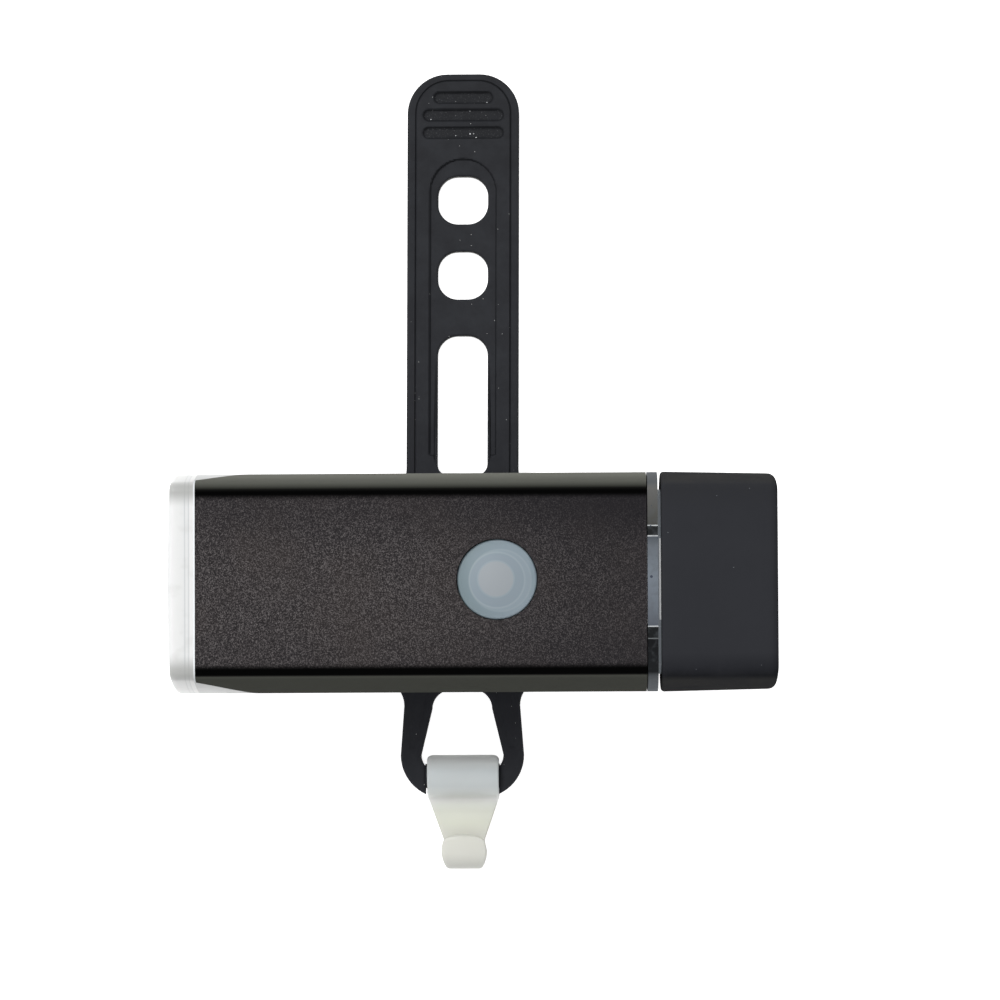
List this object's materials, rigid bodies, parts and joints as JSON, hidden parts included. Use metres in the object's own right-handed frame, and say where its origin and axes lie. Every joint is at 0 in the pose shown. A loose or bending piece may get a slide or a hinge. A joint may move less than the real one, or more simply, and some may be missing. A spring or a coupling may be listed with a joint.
{
  "type": "bike light",
  "caption": "Rectangular front bike light: bowed metal sleeve, clear lens with side windows, top button, capped charging plug, and a swivelling holed silicone strap with a hook.",
  "frame": {"origin": "on the strap's swivel axis, in the plane that the saddle's feet rest on", "axes": "+Z from the handlebar up through the light, -X along the beam, +Y along the strap's long arm"},
  "size_m": [0.0824, 0.1117, 0.033],
  "materials": {
    "anodised_sleeve": "satin anodised",
    "clear_plastic": "polished clear polycarbonate",
    "optic_acrylic": "polished acrylic",
    "seal_rubber": "matte",
    "black_moulding": "matte",
    "bare_aluminium": "machined",
    "emitter_yellow": "gloss",
    "zinc_steel": "plated",
    "red_insulation": "satin",
    "solder_mask": "gloss",
    "chip_black": "matte",
    "cell_foil": "foil",
    "grey_foam": "open foam",
    "plug_nickel": "nickel plated",
    "plug_tongue": "gloss",
    "contact_gold": "plated",
    "button_silicone": "translucent matte",
    "soft_touch_black": "soft touch",
    "strap_silicone": "matte moulded",
    "hook_milky": "milky translucent"
  },
  "bodies": {
    "housing": {"housing_sleeve": "anodised_sleeve", "front_lens": "clear_plastic", "end_collar": "clear_plastic", "usb_shell": "plug_nickel", "pivot_base": "black_moulding", "retaining_washer": "zinc_steel", "pivot_screw": "zinc_steel", "lens_gasket": "seal_rubber", "beam_optic": "optic_acrylic", "optic_holder": "black_moulding", "led_emitter": "emitter_yellow", "led_board": "bare_aluminium", "led_screws": "zinc_steel", "heat_spreader": "bare_aluminium", "led_leads": "red_insulation", "chassis_tray": "black_moulding", "main_board": "solder_mask", "board_screws": "zinc_steel", "power_inductor": "chip_black", "charge_chip": "chip_black", "indicator_leds": "emitter_yellow", "tact_switch": "chip_black", "button_guide": "black_moulding", "battery_cell": "cell_foil", "battery_pad": "grey_foam", "battery_leads": "red_insulation", "plug_bulkhead": "black_moulding", "collar_screws": "zinc_steel", "cap_seal": "seal_rubber", "usb_tongue": "plug_tongue", "usb_contacts": "contact_gold", "pivot_nut": "zinc_steel"},
    "button": {"button": "button_silicone"},
    "cap": {"rear_cap": "soft_touch_black"},
    "strap_mount": {"strap": "strap_silicone", "swivel_ring": "black_moulding"},
    "hook": {"strap_hook": "hook_milky"}
  },
  "joints": [
    {"name": "button_press", "type": "slide", "parent": "housing", "child": "button", "axis": [0, 0, -1], "range_m": [0, 0.0004], "stiffness_N_per_m": 500},
    {"name": "cap_pull", "type": "slide", "parent": "housing", "child": "cap", "axis": [1, 0, 0], "range_m": [0, 0.02]},
    {"name": "mount_swivel", "type": "hinge", "parent": "housing", "child": "strap_mount", "pos_m": [0, 0, 0], "axis": [0, 0, 1], "continuous": true},
    {"name": "hook_swing", "type": "hinge", "parent": "strap_mount", "child": "hook", "pos_m": [0, -0.02645, 0.003], "axis": [1, 0, 0], "range_deg": [0, 95]}
  ]
}
